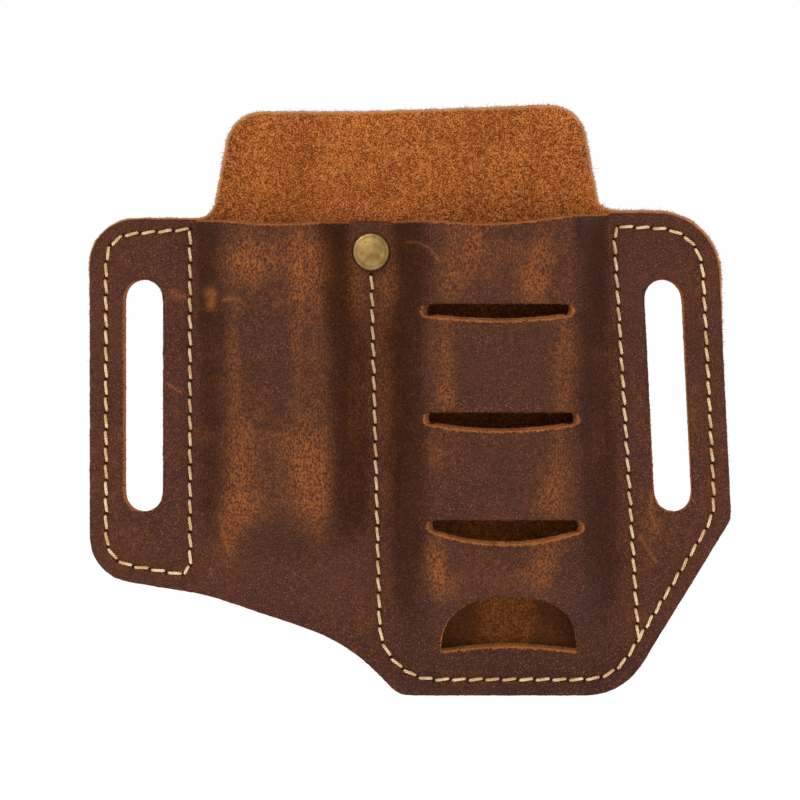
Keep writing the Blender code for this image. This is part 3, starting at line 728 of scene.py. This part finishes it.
# Painted light: one side of each belt slot is made paler, along with its belt rub.
belt_rub_and_light = np.where(points[:, 0] < 0, 0.7, 0.4) * np.clip(rubbed_and_lit_side, 0, 1)
bare_and_lit_lip = np.where(at_belt, 0.25 + belt_rub_and_light + 0.3 * (facing_up > 0.3), bare_and_lit_lip)
bare_and_lit_lip = np.where(at_window, 0.3 + 0.5 * np.clip(across_x, 0, 1) + 0.5 * (facing_up > 0.3), bare_and_lit_lip)
at_slot = ~on_outline & ~at_belt & ~at_window
bare_and_lit_lip = np.where(at_slot, 0.22 + 0.6 * np.clip(np.abs(across_x), 0, 1) + 0.5 * (facing_up > 0.3), bare_and_lit_lip)
front_panel = front_hide.piece(
    "front_panel_leather", grain_face, flesh_face, (GRAIN, FLESH, RAW_CUT),
    {
        "rub_and_light": np.clip(rub_and_light, 0, 1),
        "scratch": scratch,
        "waxed": waxed,
        "bare_and_lit": np.clip(1 - front_hide.edge_distance / FRONT_BARE_AND_LIT_WIDTH, 0, 1) * np.clip(bare_and_lit_lip, 0, 1),
        # Painted shade at the needle holes.
        "hole_shade": np.exp(-((front_hide.hole_distance / HOLE_SHADE_WIDTH) ** 2)),
        # The front panel's flesh side faces into the pockets and gets soil and painted shade all
        # over.
        "soil_and_shade": np.full(len(points), 0.35),
    },
)
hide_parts("front_panel")


# ---------------------------------------------------------------- loose fibres
# The die leaves hairs of raw fibre along every cut, most on the flap and the ears of the back
# panel. Each one is a thin curved hair rooted in the cut.

HAIR_RADIUS = 0.055
HAIR_STEPS = 3


def fibre_finish():
    f = Finish("loose_fibre")
    tone = f.noise(1.2, 2, 0.6)
    colour = f.blend(f.between(tone, 0.4, 0.7), (0.3, 0.09, 0.022), FIBRE_PALE)
    return f.done(colour, 0.95, [(tone, 0.02)], Specular_IOR_Level=0.1)


FIBRE = fibre_finish()


def loose_fibres(name, roots, ways, reaches, seed):
    """Hairs from roots, in mm, each bent along its own way and tapered to a point."""
    chance = np.random.default_rng(seed)
    corners, faces = [], []
    for root, way, reach in zip(roots, ways, reaches):
        bend = chance.normal(0, 0.55, 3)
        way = way + chance.normal(0, 0.45, 3)
        way /= np.linalg.norm(way)
        side = np.cross(way, (0.3, 0.9, 0.2))
        side /= np.linalg.norm(side)
        up = np.cross(side, way)
        first = len(corners)
        for step in range(HAIR_STEPS):
            share = step / HAIR_STEPS
            middle = root + way * reach * share + bend * reach * share**2
            radius = HAIR_RADIUS * (1 - 0.6 * share)
            for k in range(3):
                turn = 2 * math.pi * k / 3
                corner = middle + radius * (math.cos(turn) * side + math.sin(turn) * up)
                corners.append(tuple(corner * MM))
        corners.append(tuple((root + (way + bend) * reach) * MM))
        for step in range(HAIR_STEPS - 1):
            low = first + 3 * step
            for k in range(3):
                after = (k + 1) % 3
                faces.append((low + k, low + after, low + 3 + after, low + 3 + k))
        last = first + 3 * (HAIR_STEPS - 1)
        faces += [(last + k, last + (k + 1) % 3, len(corners) - 1) for k in range(3)]
        faces.append((first + 2, first + 1, first))
    mesh = bpy.data.meshes.new(name)
    mesh.from_pydata(corners, [], faces)
    mesh.shade_smooth()
    mesh.materials.append(FIBRE)
    piece = bpy.data.objects.new(name, mesh)
    bpy.context.scene.collection.objects.link(piece)
    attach(piece, "root")
    return piece


def edge_hairs(hide, loop, count, front, back, wanted, seed):
    """Roots and ways for hairs spread along a cut, thicker where more are wanted."""
    chance = np.random.default_rng(seed)
    share = wanted / wanted.sum()
    picks = chance.choice(len(loop), count, p=share)
    at = loop[picks]
    across = chance.uniform(0.1, 0.95, count)[:, None]
    roots = front[at] * (1 - across) + back[at] * across
    outward = hide.edge_outward[at]
    ways = np.stack([outward[:, 0], chance.normal(0, 0.3, count), outward[:, 1]], axis=1)
    roots = roots - ways * 0.15
    return roots, ways, 0.2 + chance.gamma(2.0, 0.1, count)


back_front_face = back_hide.at_height(swell - LEATHER)
back_back_face = back_hide.at_height(back_seam_y)
outline = back_hide.loops[0]
place = back_hide.points[outline]
on_flap = np.clip((place[:, 1] - 44) / 4, 0, 1)
on_ears = np.clip((place[:, 1] + 40) / 20, 0, 1) * np.clip((place[:, 0] - 40) / 10, 0, 1)
wanted = 0.25 + 2.2 * on_flap + 1.2 * on_ears
roots, ways, reaches = edge_hairs(
    back_hide, outline, 6000, back_front_face, back_back_face, wanted, 11
)
back_fibres = loose_fibres("back_panel_fibres", roots, ways, reaches, 12)

roots, ways, reaches = [], [], []
for number, loop in enumerate(front_hide.loops):
    lips = np.clip(front_hide.edge_outward[loop, 1], 0, 1) * free[loop]
    wanted = 0.2 + 1.5 * lips
    count = 2000 if number == 0 else 350
    found = edge_hairs(front_hide, loop, count, grain_face, flesh_face, wanted, 20 + number)
    roots.append(found[0])
    ways.append(found[1])
    reaches.append(found[2] * 0.75)
front_fibres = loose_fibres(
    "front_panel_fibres", np.concatenate(roots), np.concatenate(ways), np.concatenate(reaches),
    31,
)

back_flat, back_area = back_hide.flat_size()


def over_leather(hide, cuts, shape, step=1.0):
    """The longest ways over the moulded leather, from side to side and from top to bottom."""
    low, high = hide.points.min(0), hide.points.max(0)
    across, upward = (np.arange(low[k], high[k], step) for k in (0, 1))
    grid = np.stack(np.meshgrid(across, upward, indexing="ij"), axis=-1)
    spots = grid.reshape(-1, 2)
    within = inside(spots, cuts).reshape(grid.shape[:2])
    height = shape.at(spots).reshape(grid.shape[:2])
    longest = []
    for way, rows, masks in ((across, height.T, within.T), (upward, height, within)):
        lengths = [np.hypot(np.diff(way[m]), np.diff(row[m])).sum() for row, m in zip(rows, masks)]
        longest.append(max(lengths) * MM)
    return tuple(longest)


# The front panel was cut flat and larger than it now stands. Its width and height follow the
# moulded leather from edge to edge, and its area is that of the leather's middle layer.
front_flat = over_leather(front_hide, front_cuts, pressed)
middle = (grain_face + flesh_face) / 2
a, b, c = (middle[front_hide.triangles[:, k]] for k in range(3))
front_area = np.linalg.norm(np.cross(b - a, c - a), axis=1).sum() / 2 * MM**2


# ---------------------------------------------------------------- thread
# Waxed three-ply thread, sewn as a lock stitch with a slanting needle. Each stitch comes up beside
# one hole, lies a little aslant in the groove and goes down beside the next, front and back alike.

PLY_RADIUS = 0.19
PLY_ORBIT = 0.2
PLY_TWIST = 2.4
PLY_SIDES = 8
STITCH_STEPS = 16
SLANT = 0.25
HOLE_ROOM = 0.42
THREAD_SINK = 0.75


def thread_finish():
    f = Finish("waxed_thread")
    end = f.value("end")
    tone = f.noise(3.5, 3, 0.7)
    fluff = f.noise(0.2, 2, 0.6)
    crevice_shade = f.value("crevice_shade")
    colour = f.blend(f.between(tone, 0.35, 0.65), (0.66, 0.4, 0.19), (0.95, 0.74, 0.45))
    colour = f.blend(f.between(fluff, 0.5, 0.7, 0.0, 0.6), colour, (0.4, 0.19, 0.07))
    # Painted shade in the crevices between the plies.
    colour = f.blend(f.between(crevice_shade, 0.35, 1.0, 0.0, 0.85), colour, (0.26, 0.11, 0.035))
    # Painted shade: each stitch darkens towards its ends, where it dives into a hole.
    colour = f.blend(f.between(end, 0.75, 1.0), colour, (0.16, 0.07, 0.03))
    return f.done(colour, 0.6, [(fluff, 0.06)], Specular_IOR_Level=0.25)


THREAD = thread_finish()


def seam_surface(hide, y):
    """A way to ask how high a panel's face lies at a place on a seam."""
    tree = kdtree.KDTree(len(hide.points))
    for i, (x, z) in enumerate(hide.points):
        tree.insert((x, z, 0), i)
    tree.balance()

    def height(x, z):
        found = tree.find_n((x, z, 0), 4)
        weights = np.array([1 / (0.05 + f[2]) for f in found])
        return float((weights * y[[f[1] for f in found]]).sum() / weights.sum())

    return height


def ply(path, phase):
    """One ply's rings of points, winding round a stitch's path, with painted shade between plies."""
    along = np.gradient(path, axis=0)
    along /= np.linalg.norm(along, axis=1)[:, None]
    side = np.cross(along, (0, 1, 0))
    side /= np.linalg.norm(side, axis=1)[:, None]
    up = np.cross(side, along)
    run = np.concatenate(([0], np.cumsum(np.linalg.norm(np.diff(path, axis=0), axis=1))))
    rings, crevice_shades = [], []
    for i, here in enumerate(path):
        angle = phase + 2 * math.pi * run[i] / PLY_TWIST
        middle = here + PLY_ORBIT * (math.cos(angle) * side[i] + math.sin(angle) * up[i])
        for k in range(PLY_SIDES):
            turn = 2 * math.pi * k / PLY_SIDES
            spot = middle + PLY_RADIUS * (math.cos(turn) * side[i] + math.sin(turn) * up[i])
            rings.append(spot)
            reach = np.linalg.norm(spot - here) / (PLY_RADIUS + PLY_ORBIT)
            crevice_shades.append(min(1.0, max(0.0, (1.0 - reach) / 0.45)))
    return rings, crevice_shades


def stitches(name, node, holes, height, outward):
    """All the stitches of a seam on one side, as one piece. Outward is -1 in front, 1 behind."""
    corners, faces, ends, crevice_shades = [], [], [], []
    for number, (start, end) in enumerate(zip(holes, holes[1:])):
        along = (end - start) / np.linalg.norm(end - start)
        across = np.array((along[1], -along[0]))
        tight = noise.noise((number * 1.7, 3.0, outward))
        slant = across * SLANT * (1 + 0.5 * tight)
        up_at = start + along * (HOLE_ROOM + 0.1 * tight) + slant
        down_at = end - along * (HOLE_ROOM - 0.1 * tight) - slant
        shares = np.linspace(0, 1, STITCH_STEPS + 1)
        lie = height(*((up_at + down_at) / 2))
        path = []
        for t in shares:
            x, z = up_at * (1 - t) + down_at * t
            dive = abs(2 * t - 1) ** 7
            proud = PLY_RADIUS + PLY_ORBIT * 0.55
            rest = 0.4 * height(x, z) + 0.6 * lie
            path.append((x, rest + outward * (proud * (1 - dive) - THREAD_SINK * dive), z))
        path = np.array(path)
        for strand in range(3):
            first = len(corners)
            rings, ply_shade = ply(path, 2 * math.pi * strand / 3 + number * 2.1)
            crevice_shades += ply_shade
            corners += [tuple(r * MM) for r in rings]
            # How near each ring lies to its stitch's ends, for the painted shade there.
            ends += [abs(2 * t - 1) for t in shares for _ in range(PLY_SIDES)]
            for ring in range(STITCH_STEPS):
                low = first + ring * PLY_SIDES
                for k in range(PLY_SIDES):
                    after = (k + 1) % PLY_SIDES
                    faces.append((low + k, low + after, low + PLY_SIDES + after,
                                  low + PLY_SIDES + k))
            last = first + STITCH_STEPS * PLY_SIDES
            faces.append(tuple(first + k for k in reversed(range(PLY_SIDES))))
            faces.append(tuple(last + k for k in range(PLY_SIDES)))
    mesh = bpy.data.meshes.new(name)
    mesh.from_pydata(corners, [], faces)
    bm = bmesh.new()
    bm.from_mesh(mesh)
    bmesh.ops.recalc_face_normals(bm, faces=bm.faces)
    bm.to_mesh(mesh)
    bm.free()
    mesh.shade_smooth()
    mesh.materials.append(THREAD)
    mesh.attributes.new("end", "FLOAT", "POINT").data.foreach_set("value", ends)
    mesh.attributes.new("crevice_shade", "FLOAT", "POINT").data.foreach_set("value", crevice_shades)
    piece = bpy.data.objects.new(name, mesh)
    bpy.context.scene.collection.objects.link(piece)
    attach(piece, "root")
    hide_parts(node)


front_height = seam_surface(front_hide, front_seam_y)
back_height = seam_surface(back_hide, back_seam_y)
for seam, holes in HOLES.items():
    stitches(f"{seam}_needle_stitches", f"{seam}_needle_thread", holes, front_height, -1)
    stitches(f"{seam}_bobbin_stitches", f"{seam}_bobbin_thread", holes, back_height, 1)


# ---------------------------------------------------------------- rivet
# A double-cap rivet of aged brass: a low domed cap with a rolled rim in front, pressed on to the
# stem of a flatter cap behind, so that both leathers are nipped between them.

RIVET_STEPS = 96


def brass_finish():
    f = Finish("aged_brass")
    cloud = f.noise(1.8, 4, 0.65)
    brushed = f.noise(0.28, 3, 0.7, stretch=(0.35, 1, 1.6))
    tarnish_and_shade = f.value("rim")
    colour = f.blend(f.between(cloud, 0.3, 0.7), (0.2, 0.118, 0.035), (0.35, 0.222, 0.078))
    # Tarnish, with painted shade on the lower rolled rim and beneath the cap, where it meets the
    # leather.
    colour = f.blend(f.sum("MULTIPLY", tarnish_and_shade, 0.75), colour, (0.09, 0.05, 0.018))
    roughness = f.between(brushed, 0.3, 0.7, 0.34, 0.55)
    return f.done(colour, roughness, [(brushed, 0.02), (cloud, 0.03)], Metallic=1.0)


BRASS = brass_finish()


def rivet_cap(name, node, thick, dome, outward, under_y):
    """A cap spun about the stem's axis: flat below, rolled at the rim, with a low dome above."""
    low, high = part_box(node)
    x, z = (low.x + high.x) / 2, (low.z + high.z) / 2
    cap_low, cap_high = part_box("rivet_cap")
    radius = (cap_high.x - cap_low.x) / 2 / MM + 0.1
    rim = thick * 0.42
    # The rim value rises to 1 beneath the cap and is 0.8 on the rim's lower half: tarnish and
    # painted shade where the cap meets the leather. It is 0.8 along the shallow groove too: tarnish.
    profile = [(0.0, under_y, 0.0), (radius - rim, under_y, 1.0)]
    for angle in np.radians(np.linspace(-90, 90, 11)):
        profile.append((radius - rim + rim * math.cos(angle),
                        under_y + outward * rim * (1 + math.sin(angle)),
                        0.8 if angle < 0 else 0.0))
    inner = radius - rim
    for share in np.linspace(0.94, 0, 14):
        swell = dome * (1 - share**2) - 0.05 * math.exp(-(((share - 0.9) / 0.035) ** 2))
        patina_and_contact_shade = 0.8 * math.exp(-(((share - 0.9) / 0.04) ** 2))
        profile.append((inner * share, under_y + outward * (2 * rim + swell), patina_and_contact_shade))
    bm = bmesh.new()
    rim_layer = bm.verts.layers.float.new("rim")
    spots = []
    for r, y, patina_and_contact_shade in profile:
        spot = bm.verts.new((r * MM, y * MM, 0))
        spot[rim_layer] = patina_and_contact_shade
        spots.append(spot)
    edges = [bm.edges.new(pair) for pair in zip(spots, spots[1:])]
    bmesh.ops.spin(bm, geom=spots + edges, cent=(0, 0, 0), axis=(0, 1, 0),
                   angle=2 * math.pi, steps=RIVET_STEPS, use_merge=True)
    bmesh.ops.remove_doubles(bm, verts=bm.verts, dist=1e-7)
    bmesh.ops.recalc_face_normals(bm, faces=bm.faces)
    mesh = bpy.data.meshes.new(name)
    bm.to_mesh(mesh)
    bm.free()
    mesh.transform(Matrix.Translation((x, 0, z)))
    mesh.shade_smooth()
    mesh.materials.append(BRASS)
    piece = bpy.data.objects.new(name, mesh)
    bpy.context.scene.collection.objects.link(piece)
    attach(piece, "root")
    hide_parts(node)


rivet_cap("rivet_front_cap", "rivet_cap", 1.35, 0.42, -1, FLAT_FRONT - 0.02)
rivet_cap("rivet_back_cap", "rivet_post", 1.1, 0.15, 1, 0.02)


# ---------------------------------------------------------------- studio
# The pouch hangs in the air as it does on a belt, with a pale floor well below it. One large soft
# box stands to the upper left, a weaker one to the right, and a pale surround fills the shade.

CAMERA_DISTANCE = 800.0
CAMERA_AIM = (-1.5, -1.1)
VIEW_WIDTH = 196.6
VIEW_PLANE_Y = -5.0
SENSOR = 36.0
FLOOR_BELOW = 190.0
FLOOR_REACH = 12.0
SURROUND_LIGHT = 0.4
FLOOR_GLOW = 0.78

camera_data = bpy.data.cameras.new("camera")
camera_data.sensor_width = SENSOR
camera_data.lens = SENSOR * CAMERA_DISTANCE / VIEW_WIDTH
camera = bpy.data.objects.new("camera", camera_data)
bpy.context.scene.collection.objects.link(camera)
camera.location = (
    CAMERA_AIM[0] * MM, (VIEW_PLANE_Y - CAMERA_DISTANCE) * MM, CAMERA_AIM[1] * MM
)
camera.rotation_euler = (math.radians(90), 0, 0)
bpy.context.scene.camera = camera


def soft_box(name, place, width, height, watts):
    """A soft box that looks at the pouch."""
    data = bpy.data.lights.new(name, "AREA")
    data.shape = "RECTANGLE"
    data.size = width
    data.size_y = height
    data.energy = watts
    lamp = bpy.data.objects.new(name, data)
    bpy.context.scene.collection.objects.link(lamp)
    lamp.location = place
    lamp.rotation_mode = "QUATERNION"
    lamp.rotation_quaternion = (-Vector(place)).to_track_quat("-Z", "Y")
    lamp.visible_camera = False


soft_box("key_soft_box", (-0.38, -0.92, 0.6), 0.6, 0.6, 6.6)
soft_box("fill_soft_box", (0.6, -0.9, 0.15), 0.7, 0.9, 2.5)
soft_box("back_soft_box", (0.3, 0.9, 0.7), 0.9, 0.9, 8.0)

world = bpy.data.worlds.new("studio")
bpy.context.scene.world = world
world.use_nodes = True
sky = world.node_tree.nodes["Background"]
sky.inputs["Color"].default_value = (1, 1, 1, 1)
seen = world.node_tree.nodes.new("ShaderNodeLightPath")
level = world.node_tree.nodes.new("ShaderNodeMapRange")
level.inputs["To Min"].default_value = SURROUND_LIGHT
level.inputs["To Max"].default_value = 1.0
world.node_tree.links.new(seen.outputs["Is Camera Ray"], level.inputs["Value"])
world.node_tree.links.new(level.outputs["Result"], sky.inputs["Strength"])
bpy.context.scene.view_settings.view_transform = "Standard"

floor_z = cad_box[0].z - FLOOR_BELOW * MM
floor_mesh = bpy.data.meshes.new("floor")
floor_mesh.from_pydata(
    [(FLOOR_REACH * x, FLOOR_REACH * y, floor_z) for x, y in ((-1, -1), (1, -1), (1, 1), (-1, 1))],
    [], [(0, 1, 2, 3)],
)
floor = bpy.data.objects.new("floor", floor_mesh)
bpy.context.scene.collection.objects.link(floor)
floor_paint = bpy.data.materials.new("pale_floor")
floor_paint.use_nodes = True
paint = floor_paint.node_tree.nodes["Principled BSDF"]
paint.inputs["Base Color"].default_value = (0.6, 0.6, 0.6, 1)
paint.inputs["Roughness"].default_value = 0.9
paint.inputs["Emission Color"].default_value = (1, 1, 1, 1)
paint.inputs["Emission Strength"].default_value = FLOOR_GLOW
floor_mesh.materials.append(floor_paint)
